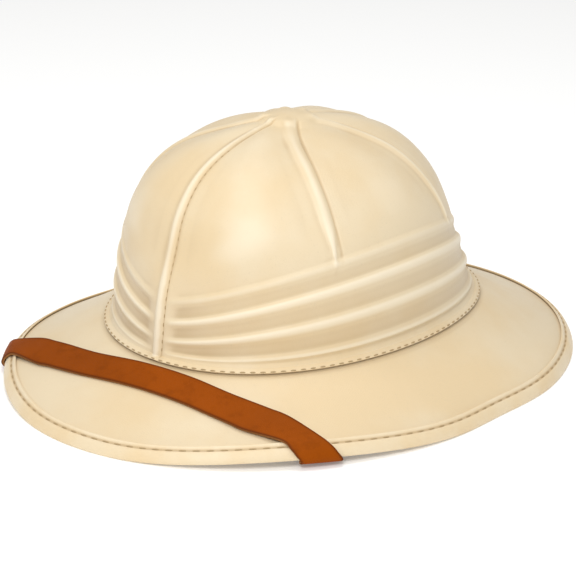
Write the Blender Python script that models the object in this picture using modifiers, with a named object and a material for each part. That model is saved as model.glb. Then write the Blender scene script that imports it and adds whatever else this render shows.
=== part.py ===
"""Pith helmet: a moulded crown, a sloping brim with a bound edge, and a leather chin strap over the front.

Metres, +Z up. The hat stands on its rim on the plane z = 0. Its front is at -Y, the wearer's left at +X.
A turn goes round the hat from the front (0) over the wearer's left side (90 degrees) to the back (180).
Every plan outline is the rim's oval times a share, so a place on the brim is a turn and a share.
"""

import math

import bmesh
import bpy
from mathutils import Vector

MM = 0.001

# The rim's oval, and what lifts or flattens it.
RIM_HALF_WIDTH = 134.4 * MM
RIM_HALF_LENGTH = 163.7 * MM
SIDE_FLARE = -3.9 * MM  # the rim is a little flattened at both sides
SIDE_FLARE_TURN = 93.0
SIDE_FLARE_SPREAD = 12.0
STRAP_LIFT = 4.3 * MM  # the rim rises where the strap goes round it
STRAP_LIFT_TURN = 48.5
STRAP_LIFT_SPREAD = 40.0

# The crown's foot, where it is sewn to the brim.
FOOT_SHARE = 0.634
FOOT_SQUARENESS = 0.011
FOOT_HEIGHT = 32.0 * MM
FOOT_NOSE_DOWN = 2.5 * MM
FOOT_SIDES_UP = 1.0 * MM

# The crown above its foot. Rise is an angle: a level stands at CROWN_HEIGHT times its sine.
CROWN_HEIGHT = 99.5 * MM
CROWN_FORWARD = 7.0 * MM  # how far the top leans to the front
CROWN_LEAN_POWER = 1.5
CROWN_WALL = 2.0 * MM
CROWN_LEVELS = (
    # rise, then the distance in mm from the axis at the front, the side and the back
    dict(rise=0, front=103.8, side=85.2, back=103.8),
    dict(rise=15, front=99.2, side=84.9, back=92.8),
    dict(rise=30, front=90.9, side=80.3, back=82.2),
    dict(rise=45, front=81.4, side=68.2, back=74.3),
    dict(rise=60, front=64.2, side=48.8, back=59.3),
    dict(rise=75, front=36.0, side=21.8, back=31.5),
    dict(rise=90, front=0.0, side=0.0, back=0.0),
)
PANEL_BULGE = 0.9 * MM
PANEL_EASE = 25.0 * MM  # the bulge grows over this height above the pleats
PANEL_RADII = (10.0 * MM, 35.0 * MM)  # and between these distances from the axis
RELIEF_TURNS_UP = 40.0 * MM  # relief stands out level below this height, then along the skin's normal
RIB_COUNT = 6
RIB_HEIGHT = 1.3 * MM
RIB_HALF_WIDTH = 4.2 * MM
RIB_TIP = 0.35  # the share of its width that a rib keeps where it ends, over the top pleat
RIB_TAPER = 22.0 * MM
RIB_END = (-4.0 * MM, 5.0 * MM)  # a rib sinks into the skin between these heights over the top crest
BOSS_RADIUS = 11.0 * MM
BOSS_SHOULDER = 5.0 * MM
BOSS_HEIGHT = 2.8 * MM
BOSS_DOME = 0.8 * MM
BOSS_CLEARS_RIBS = 4.0 * MM

# The pleats: heights of their crests above the foot, from the top one down.
PLEATS = (
    dict(front=28.3, side=52.3, back=24.0),
    dict(front=18.1, side=40.0, back=15.5),
    dict(front=8.9, side=23.7, back=8.5),
    dict(front=2.6, side=6.4, back=3.0),
)
PLEAT_ROUNDING = 0.2  # how softly the pleats turn at the front and the back
PLEAT_SET_BACK = 1.0 * MM
PLEAT_DEPTH = 1.7 * MM
PLEAT_DEPTH_SHARE = 0.2  # and no deeper than this share of its height
PLEAT_FOOT_EASE = 5.0 * MM
SET_BACK_EASE = 14.0  # mm above the top pleat over which the skin comes out again
TOP_DIP = dict(depth=0.5, start=3.0, ease=6.0)  # mm: the dip behind the top crest
PLEAT_FALL = 0.5  # the share of a pleat's height over which its face falls in below the crest
PLEAT_LEDGE = 0.24  # and the share that its upward ledge takes
PLEAT_FADE = (1.0 * MM, 15.0 * MM)  # the pleats die out between these distances from the front rib
FOOT_ABOVE_SEAM = 1.1 * MM
LIP_WIDTH = 2.6 * MM
LIP_LIFT = 1.6 * MM  # from the gap over the brim to the lip's upper face
LIP = (
    # from the foot of the wall to the lip's edge: shares of its width, its drop and the crown's wall
    dict(out=0.0, down=0.0, wall=1.0),
    dict(out=0.5, down=0.62, wall=0.7),
    dict(out=1.0, down=1.0, wall=0.5),
)

# The brim and its binding, as sections through the rim: mm in from the rim, and mm up.
BRIM_WALL = 2.2 * MM
BRIM_UNDER_CROWN = 0.3 * MM  # how far the brim reaches in under the crown's wall
BRIM_BELOW_FOOT = 1.2 * MM
BRIM_HOLLOW = 0.14
BRIM_SLOPE = 0.5  # about how steeply it falls, for what lies along it
BRIM_EDGE = (
    dict(inset=2.25, up=3.0),
    dict(inset=2.8, up=3.8),
    dict(inset=4.7, up=5.3),
    dict(inset=7.0, up=6.6),
)
BRIM_ROWS = (0.0, 0.3, 0.65)  # shares of the way out from its inner edge
BINDING_WALL = 1.0 * MM
BINDING = (
    dict(inset=6.4, up=7.75),
    dict(inset=3.9, up=6.3),
    dict(inset=1.7, up=4.6),
    dict(inset=0.25, up=2.0),
    dict(inset=0.0, up=0.8),
    dict(inset=0.7, up=0.0),
    dict(inset=4.0, up=0.0),
    dict(inset=5.6, up=1.0),
    dict(inset=7.6, up=2.5),
    dict(inset=8.8, up=3.1),
)

# The chin strap: its middle line over the brim, from the wearer's right to the left.
STRAP_WIDTH = 17.0 * MM
STRAP_WALL = 1.5 * MM
STRAP_RIGHT_TURN = -47.5
STRAP_LEFT_TURN = 52.5
STRAP_WRAP_SPREAD = 3.9
STRAP_OVER_BRIM = (
    dict(x=-60.0, y=-115.5),
    dict(x=-30.0, y=-117.2),
    dict(x=0.0, y=-115.4),
    dict(x=30.0, y=-112.6),
    dict(x=60.0, y=-109.8),
)
STRAP_WRAP = (
    # round the rim: mm in from it, mm up, and degrees towards the front, as the strap crosses it aslant
    dict(inset=5.6, up=8.1, ahead=3.6),
    dict(inset=1.4, up=5.2, ahead=1.7),
    dict(inset=-0.4, up=2.1, ahead=0.6),
    dict(inset=-0.6, up=0.5, ahead=0.0),
    dict(inset=0.5, up=-0.45, ahead=0.0),
    dict(inset=4.3, up=-0.45, ahead=0.0),
)
STRAP_STEPS = 20  # rows over the brim, of which the first and last few belong to the wraps
STRAP_BRIDGE = 1.8 * MM  # how far it stands off the brim near both ends
STRAP_BRIDGE_SHARE = 0.3
STRAP_BRIDGE_TILT = 0.8  # its front edge stands off less than that, its back edge more
STRAP_ASLANT_SHARE = 0.35  # over this share of the rows it turns to lie along the rim at both ends
STRAP_PROBE = 0.01
STRAP_UNDER = (0.16, 0.36, 0.56, 0.76)  # rows from the rim to the tab, as shares of the way
STRAP_TWIST_FROM = 0.15  # the share of that way at which it starts to turn upright
STRAP_TAB_ROWS = (0.0, 0.35, 0.7, 1.0)
STRAP_TAB_TURN = 68.0
STRAP_TAB_LENGTH = 38.0 * MM
STRAP_TAB_TILT = 50.0
STRAP_TAB_UP = -12.0 * MM
STRAP_IN_FROM_SKIN = 4.8 * MM
STRAP_SLACK = 0.8 * MM
TAPE_STEP = 5.0 * MM  # the strap comes down from the binding to the brim over this width
TAPE_LIFT = 1.6 * MM  # how much higher it lies there than on the brim

GAP = 0.3 * MM
TOP_RINGS = (7.0, 11.0, 13.5, 16.0, 24.0)  # mm from the axis, over the boss and its shoulder
PANEL_RINGS = (0.86, 0.7, 0.55, 0.41, 0.28, 0.14)  # shares of the rise from the pleats to PANEL_TOP
PANEL_TOP = 76.0
PANEL_START = 4.0 * MM
PANEL_RADIUS = 70.0 * MM
PANEL_COLUMNS_AT = 1.15  # the share of PANEL_RADIUS, less that of the rise, for which the columns are set
PLEAT_RINGS = (PLEAT_LEDGE, 0.0, -0.45)  # shares of the pleat above, and below its crest of its own height
TOP_PLEAT_LEDGE = 9.0 * MM
COLUMNS_AT_RIB = (
    # mm to each side of a rib, and the most that may be as a share of the half panel
    dict(mm=1.8, most=0.12),
    dict(mm=4.2, most=0.24),
    dict(mm=9.0, most=0.36),
)
COLUMNS_IN_PANEL = (0.62, 1.0)  # shares of the half panel
RIM_COLUMNS = 60


def smoothstep(low, high, x):
    x = min(max((x - low) / (high - low), 0.0), 1.0)
    return x * x * (3 - 2 * x)


def bell(x):
    return max(1 - x * x, 0.0) ** 2


def half_turn(turn):
    """A turn in radians as an angle from the front, 0 to 180 degrees, alike on both sides."""
    return abs(math.degrees(math.remainder(turn, math.tau)))


def between(table, column, x, at):
    """A column of a table at x, along a smooth curve through its rows."""
    steps = [row[at] for row in table]
    last = len(table) - 2
    i = max(k for k in range(last + 1) if k == 0 or steps[k] <= x)
    values = [row[column] for row in table]
    before = values[i - 1] if i else 2 * values[0] - values[1]
    after = values[i + 2] if i < last else 2 * values[-1] - values[-2]
    u = (x - steps[i]) / (steps[i + 1] - steps[i])
    a, b = values[i], values[i + 1]
    ta, tb = (b - before) / 2, (after - a) / 2
    return a + u * (ta + u * (3 * (b - a) - 2 * ta - tb + u * (ta + tb - 2 * (b - a))))


def rim_share(turn):
    off = (half_turn(turn) - SIDE_FLARE_TURN) / SIDE_FLARE_SPREAD
    return 1 + SIDE_FLARE / RIM_HALF_WIDTH * math.exp(-off * off)


def foot_share(turn):
    return FOOT_SHARE * (1 - FOOT_SQUARENESS * math.cos(4 * turn))


def ray(turn):
    """Millimetres of plan for a share of 1 at this turn."""
    return math.hypot(RIM_HALF_WIDTH * math.sin(turn), RIM_HALF_LENGTH * math.cos(turn))


def plan(turn, share):
    return RIM_HALF_WIDTH * math.sin(turn) * share, -RIM_HALF_LENGTH * math.cos(turn) * share


def lift(turn):
    off = abs(half_turn(turn) - STRAP_LIFT_TURN) / STRAP_LIFT_SPREAD
    return STRAP_LIFT * math.cos(math.pi / 2 * min(off, 1.0)) ** 2


def foot_height(turn):
    return FOOT_HEIGHT - FOOT_NOSE_DOWN * math.cos(turn) - FOOT_SIDES_UP * math.cos(2 * turn)


def at_rim(turn, inset, up):
    """A point this far in from the rim along the ray, and up from the rim's base."""
    x, y = plan(turn, rim_share(turn) - inset / ray(turn))
    return Vector((x, y, lift(turn) + up))


def brim_top(turn, inset):
    """The height of the brim's upper face."""
    edge = BRIM_EDGE[-1]
    if inset < edge["inset"] * MM:
        return lift(turn) + between(BRIM_EDGE, "up", inset / MM, "inset") * MM
    low = lift(turn) + edge["up"] * MM
    high = foot_height(turn) - BRIM_BELOW_FOOT
    whole = (rim_share(turn) - foot_share(turn)) * ray(turn) - edge["inset"] * MM
    u = (inset - edge["inset"] * MM) / whole
    return low + (high - low) * u * (1 - BRIM_HOLLOW * (1 - u))


def on_brim(x, y, above):
    """A point this far above the brim's upper face, or above the binding where that lies on it."""
    turn = math.atan2(x / RIM_HALF_WIDTH, -y / RIM_HALF_LENGTH)
    share = math.hypot(x / RIM_HALF_WIDTH, y / RIM_HALF_LENGTH)
    inset = (rim_share(turn) - share) * ray(turn)
    edge = BINDING[0]["inset"] * MM
    tape = TAPE_LIFT * (1 - smoothstep(edge, edge + TAPE_STEP, inset))
    return Vector((x, y, brim_top(turn, inset) + tape + above))


def pleat_height(pleat, turn):
    """How high a pleat's crest stands above the foot: low at the front and the back, high at the sides."""
    soft = PLEAT_ROUNDING
    swing = (math.hypot(math.sin(turn), soft) - soft) / (math.hypot(1, soft) - soft)
    end = pleat["front"] if math.cos(turn) > 0 else pleat["back"]
    return (end + (pleat["side"] - end) * swing) * MM


def pleat_relief(turn, height):
    """How far the pleats set the skin back: each is a face that falls in, then a ledge out to the next."""
    crests = [pleat_height(pleat, turn) for pleat in PLEATS] + [0.0]
    if height >= crests[0]:
        above = (height - crests[0]) / MM
        dip = TOP_DIP["depth"] * MM * smoothstep(0, TOP_DIP["start"], above)
        return PLEAT_SET_BACK * math.exp(-above / SET_BACK_EASE) + dip * math.exp(-above / TOP_DIP["ease"])
    tier = max(k for k in range(len(PLEATS)) if height <= crests[k])
    span = crests[tier] - crests[tier + 1]
    x = (crests[tier] - height) / span
    fall = smoothstep(0, PLEAT_FALL, x) - smoothstep(1 - PLEAT_LEDGE, 1, x)
    depth = min(PLEAT_DEPTH, PLEAT_DEPTH_SHARE * span)
    return (PLEAT_SET_BACK + depth * fall) * smoothstep(0, PLEAT_FOOT_EASE, height)


def rib_relief(turn, height, radius):
    """The ribs, and how much of the pleats is left beside the two that run down to the foot."""
    step = math.tau / RIB_COUNT
    near = round(turn / step)
    aside = abs(turn - near * step) * radius
    if near % (RIB_COUNT // 2) == 0:
        kept = smoothstep(*PLEAT_FADE, aside)
        return RIB_HEIGHT * bell(aside / RIB_HALF_WIDTH), kept
    above = height - pleat_height(PLEATS[0], turn)
    width = RIB_HALF_WIDTH * (RIB_TIP + (1 - RIB_TIP) * smoothstep(0, RIB_TAPER, above))
    return RIB_HEIGHT * bell(aside / width) * smoothstep(*RIB_END, above), 1.0


def crown_skin(turn, rise):
    """A point of the crown's outer skin."""
    level = math.degrees(rise)
    height = CROWN_HEIGHT * math.sin(rise)
    side = between(CROWN_LEVELS, "side", level, "rise") * MM
    end = between(CROWN_LEVELS, "front" if math.cos(turn) > 0 else "back", level, "rise") * MM
    squareness = 1 - FOOT_SQUARENESS * math.cos(4 * turn) * math.exp(-2 * rise)
    x = side * math.sin(turn) * squareness
    y = -end * math.cos(turn) * squareness
    radius = math.hypot(x, y)
    top = pleat_height(PLEATS[0], turn)
    panel = smoothstep(top, top + PANEL_EASE, height) * smoothstep(*PANEL_RADII, radius)
    rib, kept = rib_relief(turn, height, radius)
    out = rib - PANEL_BULGE * math.cos(RIB_COUNT * turn) * panel - kept * pleat_relief(turn, height)
    out *= smoothstep(BOSS_RADIUS - BOSS_CLEARS_RIBS, BOSS_RADIUS + BOSS_CLEARS_RIBS, radius)
    boss = BOSS_HEIGHT - BOSS_DOME * min(radius / BOSS_RADIUS, 1.0) ** 2
    boss *= 1 - smoothstep(BOSS_RADIUS, BOSS_RADIUS + BOSS_SHOULDER, radius)
    base = foot_height(turn) * (1 - math.sin(rise)) + FOOT_HEIGHT * math.sin(rise)
    away = Vector((x, y, max(height - RELIEF_TURNS_UP, 0.0))).normalized()
    lean = CROWN_FORWARD * math.sin(rise) ** CROWN_LEAN_POWER
    return Vector((x, y - lean, base + height + boss)) + away * out


def rise_at_radius(turn, radius):
    """The rise at which the plain crown is this far from its axis, near the top."""
    low, high = math.radians(45), math.radians(90)
    for _ in range(30):
        rise = (low + high) / 2
        level = math.degrees(rise)
        side = between(CROWN_LEVELS, "side", level, "rise") * math.sin(turn)
        end = "front" if math.cos(turn) > 0 else "back"
        reach = math.hypot(side, between(CROWN_LEVELS, end, level, "rise") * math.cos(turn)) * MM
        low, high = (rise, high) if reach > radius else (low, rise)
    return rise


def loft(name, rings, around, cap=False):
    """A mesh through rings of points. Around joins a ring's ends; cap fills the first ring."""
    mesh = bpy.data.meshes.new(name)
    bm = bmesh.new()
    rows = [[bm.verts.new(point) for point in ring] for ring in rings]
    count = len(rows[0])
    for above, below in zip(rows, rows[1:]):
        for i in range(count if around else count - 1):
            j = (i + 1) % count
            bm.faces.new((above[i], below[i], below[j], above[j]))
    if cap:
        pole = bm.verts.new(sum((v.co for v in rows[0]), Vector()) / count)
        for i in range(count):
            bm.faces.new((pole, rows[0][i], rows[0][(i + 1) % count]))
    bm.normal_update()
    bm.to_mesh(mesh)
    bm.free()
    mesh.shade_smooth()
    return bpy.data.objects.new(name, mesh)


def solidify(obj, wall, offset):
    """Gives a surface its wall: inwards of it for offset -1, outwards for 1."""
    shell = obj.modifiers.new("wall", "SOLIDIFY")
    shell.thickness = wall
    shell.offset = offset
    shell.use_even_offset = True
    return shell


def principled(name, colour, roughness):
    material = bpy.data.materials.new(name)
    material.use_nodes = True
    shader = material.node_tree.nodes["Principled BSDF"]
    shader.inputs["Base Color"].default_value = (*colour, 1)
    shader.inputs["Roughness"].default_value = roughness
    shader.inputs["Metallic"].default_value = 0.0
    return material


def crown_columns(radius):
    """The turns of the crown's columns on a level of this radius: close together along the ribs."""
    half_panel = math.pi / RIB_COUNT
    aside = [min(row["mm"] * MM / radius, half_panel * row["most"]) for row in COLUMNS_AT_RIB]
    aside += [half_panel * share for share in COLUMNS_IN_PANEL]
    turns = []
    for rib in range(RIB_COUNT):
        middle = 2 * half_panel * rib
        turns += [middle - off for off in reversed(aside[:-1])] + [middle] + [middle + off for off in aside]
    return turns


def make_crown():
    """The crown: boss, ribs and panels, then the pleats, and last the lip that is sewn to the brim."""
    rings = []
    for mm in TOP_RINGS:
        rings.append([crown_skin(t, rise_at_radius(t, mm * MM)) for t in crown_columns(mm * MM)])
    for share in PANEL_RINGS:
        ring = []
        for turn in crown_columns(PANEL_RADIUS * (PANEL_COLUMNS_AT - share)):
            low = math.asin((pleat_height(PLEATS[0], turn) + PANEL_START) / CROWN_HEIGHT)
            ring.append(crown_skin(turn, low + (math.radians(PANEL_TOP) - low) * share))
        rings.append(ring)
    turns = crown_columns(RIM_HALF_WIDTH * FOOT_SHARE)
    for k, pleat in enumerate(PLEATS):
        for above in PLEAT_RINGS:
            ring = []
            for turn in turns:
                crest = pleat_height(pleat, turn)
                over = pleat_height(PLEATS[k - 1], turn) if k else crest + TOP_PLEAT_LEDGE
                under = pleat_height(PLEATS[k + 1], turn) if k + 1 < len(PLEATS) else 0.0
                height = crest + above * ((over - crest) if above > 0 else (crest - under))
                ring.append(crown_skin(turn, math.asin(height / CROWN_HEIGHT)))
            rings.append(ring)
    walls = [1.0] * len(rings)
    for row in LIP:
        ring = []
        for turn in turns:
            width = LIP_WIDTH * row["out"]
            x, y = plan(turn, foot_share(turn) + width / ray(turn))
            inset = (rim_share(turn) - foot_share(turn)) * ray(turn) - width
            seat = brim_top(turn, inset) + GAP + LIP_LIFT
            root = foot_height(turn) + FOOT_ABOVE_SEAM
            ring.append(Vector((x, y, root + (seat - root) * row["down"])))
        rings.append(ring)
        walls.append(row["wall"])
    crown = loft("crown", rings, around=True, cap=True)
    shares = crown.vertex_groups.new(name="wall_share")
    count = len(turns)
    for k, share in enumerate(walls):
        shares.add(range(k * count, (k + 1) * count), share, "REPLACE")
    shares.add([len(rings) * count], 1.0, "REPLACE")
    solidify(crown, CROWN_WALL, -1).vertex_group = shares.name
    return crown


def make_brim():
    """The brim's upper face from under the crown out to the edge inside the binding, with its wall below."""
    turns = [math.tau * i / RIM_COLUMNS for i in range(RIM_COLUMNS)]
    rings = []
    for share in BRIM_ROWS:
        ring = []
        for turn in turns:
            first = (rim_share(turn) - foot_share(turn)) * ray(turn) + BRIM_UNDER_CROWN
            inset = first + (BRIM_EDGE[-1]["inset"] * MM - first) * share
            ring.append(at_rim(turn, inset, brim_top(turn, inset) - lift(turn)))
        rings.append(ring)
    for row in reversed(BRIM_EDGE):
        rings.append([at_rim(turn, row["inset"] * MM, row["up"] * MM) for turn in turns])
    brim = loft("brim", rings, around=True)
    solidify(brim, BRIM_WALL, -1)
    return brim


def make_binding():
    """The tape that wraps the brim's edge. Its foot is flat, and the hat stands on it."""
    turns = [math.tau * i / RIM_COLUMNS for i in range(RIM_COLUMNS)]
    rings = [[at_rim(turn, row["inset"] * MM, row["up"] * MM) for turn in turns] for row in BINDING]
    binding = loft("brim_binding", rings, around=True)
    solidify(binding, BINDING_WALL, -1)
    return binding


def strap_over_brim():
    """The strap's rows over the brim, from right to left: its front edge, its middle and its back edge."""
    inset = STRAP_WRAP[0]["inset"] * MM
    turns = (STRAP_RIGHT_TURN + STRAP_WRAP[0]["ahead"], STRAP_LEFT_TURN - STRAP_WRAP[0]["ahead"])
    ends = [at_rim(math.radians(turn), inset, 0) / MM for turn in turns]
    route = [dict(x=ends[0].x, y=ends[0].y), *STRAP_OVER_BRIM, dict(x=ends[1].x, y=ends[1].y)]
    rows = []
    low, high = route[0]["x"], route[-1]["x"]
    for i in range(2, STRAP_STEPS - 1):
        x = low + (high - low) * i / STRAP_STEPS
        y = between(route, "y", x, "x")
        slope = between(route, "y", x + 1, "x") - y
        across = Vector((-slope, 1.0)).normalized()
        near_end = min(i, STRAP_STEPS - i) / STRAP_STEPS
        turn = math.atan2(x / RIM_HALF_WIDTH, -y / RIM_HALF_LENGTH)
        along_rim = Vector(plan(turn + math.copysign(STRAP_PROBE, turn), 1)) - Vector(plan(turn, 1))
        turned = 1 - smoothstep(0.0, STRAP_ASLANT_SHARE, near_end)
        aslant = across.lerp(along_rim.normalized(), turned).normalized()
        off = STRAP_BRIDGE * (1 - smoothstep(0.0, STRAP_BRIDGE_SHARE, near_end))
        middle = on_brim(x * MM, y * MM, 0)
        probe = on_brim(middle.x + aslant.x * MM, middle.y + aslant.y * MM, 0)
        reach = (probe - middle).normalized() * STRAP_WIDTH / 2 / aslant.dot(across)
        row = []
        for s in (-1, 0, 1):
            above = GAP + off * (1 + STRAP_BRIDGE_TILT * s)
            row.append(on_brim(middle.x + s * reach.x, middle.y + s * reach.y, above))
        rows.append(row)
    return rows


def on_wall(turn, up):
    """A point on the strap's way up the inside of the crown, or on that wall carried on below its foot."""
    skin = crown_skin(turn, math.asin(max(up, 0.0) / CROWN_HEIGHT))
    inwards = Vector((-skin.x, -skin.y, 0)).normalized()
    return Vector((skin.x, skin.y, foot_height(turn) + up)) + inwards * STRAP_IN_FROM_SKIN


def strap_row(middle, across):
    return [middle + across * (s * STRAP_WIDTH / 2) for s in (-1, 0, 1)]


def strap_end(turn, side):
    """Rows from the brim round the rim, back underneath and up the crown's inner wall. Side is 1 or -1."""
    spread = math.radians(STRAP_WRAP_SPREAD) * side
    wrap = []
    for place in STRAP_WRAP:
        middle = turn - side * math.radians(place["ahead"])
        wrap.append([at_rim(middle + s * spread, place["inset"] * MM, place["up"] * MM) for s in (-1, 0, 1)])
    tilt = math.radians(STRAP_TAB_TILT)
    tab = []
    for along in STRAP_TAB_ROWS:
        ahead = along * STRAP_TAB_LENGTH
        row = []
        for s in (-1, 0, 1):
            aside = ahead * math.cos(tilt) + s * STRAP_WIDTH / 2 * math.sin(tilt)
            up = STRAP_TAB_UP + ahead * math.sin(tilt) - s * STRAP_WIDTH / 2 * math.cos(tilt)
            spot = math.radians(STRAP_TAB_TURN) + aside / (FOOT_SHARE * RIM_HALF_WIDTH)
            row.append(on_wall(side * spot, up))
        tab.append(row)
    start, stop = wrap[-1][1], tab[0][1]
    run = (stop - start).normalized()
    flat = run.cross(Vector((0, 0, side))).normalized() - Vector((0, 0, BRIM_SLOPE))
    upright = (tab[0][2] - tab[0][0]).normalized()
    under = []
    for ahead in STRAP_UNDER:
        across = flat.lerp(upright, smoothstep(STRAP_TWIST_FROM, 1.0, ahead))
        middle = start.lerp(stop, ahead) - Vector((0, 0, STRAP_SLACK * math.sin(math.pi * ahead)))
        under.append(strap_row(middle, (across - run * across.dot(run)).normalized()))
    return wrap + under + tab


def make_strap():
    """One strap from the crown's right inner wall, over the front of the brim, to its left inner wall."""
    right = strap_end(math.radians(STRAP_RIGHT_TURN), -1)
    left = strap_end(math.radians(STRAP_LEFT_TURN), 1)
    rows = [*reversed(right), *strap_over_brim(), *left]
    strap = loft("chin_strap", rows, around=False)
    solidify(strap, STRAP_WALL, 1)
    return strap


def main():
    for obj in list(bpy.data.objects):
        bpy.data.objects.remove(obj)
    helmet = bpy.data.collections.new("pith_helmet")
    bpy.context.scene.collection.children.link(helmet)
    pieces = (
        (make_crown(), principled("moulded_cloth", (0.83, 0.70, 0.49), 0.55)),
        (make_brim(), principled("brim_cloth", (0.85, 0.73, 0.53), 0.55)),
        (make_binding(), principled("binding_tape", (0.80, 0.69, 0.49), 0.6)),
        (make_strap(), principled("strap_leather", (0.36, 0.09, 0.01), 0.4)),
    )
    for piece, material in pieces:
        piece.data.materials.append(material)
        helmet.objects.link(piece)


main()
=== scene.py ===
"""The finished look of a pith helmet, laid out as a Blender add-on and run as a script.

Metres, +Z up, the hat's front at -Y and the wearer's left at +X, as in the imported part. A turn goes round
the hat from the front (0) over the wearer's left side (90 degrees) to the back (180). Every plan outline is
the rim's oval times a share, so a place on the brim is a turn and a distance in from the rim.
"""

import math

import bmesh
import bpy
import numpy as np
from bpy.props import FloatProperty, FloatVectorProperty, PointerProperty
from mathutils import Matrix, Vector


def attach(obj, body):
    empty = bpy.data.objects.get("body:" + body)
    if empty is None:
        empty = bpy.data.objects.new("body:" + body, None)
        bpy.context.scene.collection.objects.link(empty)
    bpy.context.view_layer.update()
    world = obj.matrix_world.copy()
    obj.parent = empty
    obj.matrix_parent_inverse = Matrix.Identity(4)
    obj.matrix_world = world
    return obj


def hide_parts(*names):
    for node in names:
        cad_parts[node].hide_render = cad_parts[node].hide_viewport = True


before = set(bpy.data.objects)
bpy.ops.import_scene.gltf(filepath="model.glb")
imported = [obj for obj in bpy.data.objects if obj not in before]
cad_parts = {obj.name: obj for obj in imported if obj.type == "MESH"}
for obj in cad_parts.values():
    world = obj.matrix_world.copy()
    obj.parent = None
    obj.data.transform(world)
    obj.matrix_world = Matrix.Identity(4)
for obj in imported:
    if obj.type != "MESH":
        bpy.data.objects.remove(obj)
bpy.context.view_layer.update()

bl_info = {
    "name": "Pith Helmet",
    "version": (1, 0),
    "blender": (4, 5, 0),
    "location": "View3D > Sidebar > Helmet",
    "description": "Builds a moulded, cloth-covered pith helmet with a leather chin strap over its front",
    "category": "Add Mesh",
}

MM = 0.001

# The rim's oval, and what lifts or flattens it, as the part has them.
RIM_HALF_WIDTH = 134.4 * MM
RIM_HALF_LENGTH = 163.7 * MM
SIDE_FLARE = -3.9 * MM
SIDE_FLARE_TURN = 93.0
SIDE_FLARE_SPREAD = 12.0
STRAP_LIFT = 4.3 * MM
STRAP_LIFT_TURN = 48.5
STRAP_LIFT_SPREAD = 40.0

# The crown's foot, where it is sewn to the brim.
FOOT_SHARE = 0.634
FOOT_SQUARENESS = 0.011
FOOT_HEIGHT = 32.0 * MM
FOOT_NOSE_DOWN = 2.5 * MM
FOOT_SIDES_UP = 1.0 * MM

# The crown above its foot. Rise is an angle: a level stands at CROWN_HEIGHT times its sine.
CROWN_HEIGHT = 99.5 * MM
CROWN_FORWARD = 7.0 * MM
CROWN_LEAN_POWER = 1.5
CROWN_WALL = 2.0 * MM
CROWN_LEVELS = (
    # rise, then the distance in mm from the axis at the front, the side and the back
    dict(rise=0, front=103.8, side=85.2, back=103.8),
    dict(rise=15, front=99.2, side=84.9, back=92.8),
    dict(rise=30, front=90.9, side=80.3, back=82.2),
    dict(rise=45, front=81.4, side=68.2, back=74.3),
    dict(rise=60, front=64.2, side=48.8, back=59.3),
    dict(rise=75, front=36.0, side=21.8, back=31.5),
    dict(rise=90, front=0.0, side=0.0, back=0.0),
)
PANEL_BULGE = 0.9 * MM
PANEL_EASE = 25.0 * MM
PANEL_RADII = (10.0 * MM, 35.0 * MM)
RELIEF_TURNS_UP = 40.0 * MM
RIB_COUNT = 6
RIB_HEIGHT = 1.3 * MM
RIB_HALF_WIDTH = 4.2 * MM
RIB_TIP = 0.35
RIB_TAPER = 22.0 * MM
RIB_END = (-4.0 * MM, 5.0 * MM)
RIB_SEAM_ASIDE = 3.6 * MM  # the seam runs along the wearer's left side of each rib
RIB_SEAM_HALF_WIDTH = 1.0 * MM
FRONT_SEAM_DEPTH = 0.55 * MM
OTHER_SEAM_DEPTH = 0.55 * MM
BOSS_RADIUS = 11.0 * MM
BOSS_SHOULDER = 5.0 * MM
BOSS_HEIGHT = 2.8 * MM
BOSS_DOME = 0.8 * MM
BOSS_CLEARS_RIBS = 4.0 * MM

# The pleats: heights of their crests above the foot, from the top one down.
PLEATS = (
    dict(front=28.3, side=52.3, back=24.0),
    dict(front=18.1, side=40.0, back=15.5),
    dict(front=8.9, side=23.7, back=8.5),
    dict(front=2.6, side=6.4, back=3.0),
)
PLEAT_ROUNDING = 0.2
PLEAT_SET_BACK = 1.0 * MM
PLEAT_DEPTH = 1.7 * MM
PLEAT_DEPTH_SHARE = 0.2
PLEAT_FOOT_EASE = 5.0 * MM
PLEAT_FALL = 0.5
PLEAT_LEDGE = 0.24
PLEAT_FADE = (1.0 * MM, 15.0 * MM)
SET_BACK_EASE = 14.0
TOP_DIP = dict(depth=1.0, start=3.0, ease=6.0)
FOOT_ABOVE_SEAM = 1.1 * MM
LIP_WIDTH = 2.6 * MM
LIP_LIFT = 1.6 * MM
# Painted shade: the lip is darkened towards the crown's wall, in the corner.
LIP_PAINTED_SHADE = 0.5 * MM
LIP = (
    # from the foot of the wall to the lip's edge: shares of its width, its drop and the crown's wall
    dict(out=0.0, down=0.0, wall=1.0),
    dict(out=0.5, down=0.62, wall=0.7),
    dict(out=1.0, down=1.0, wall=0.5),
)

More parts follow.
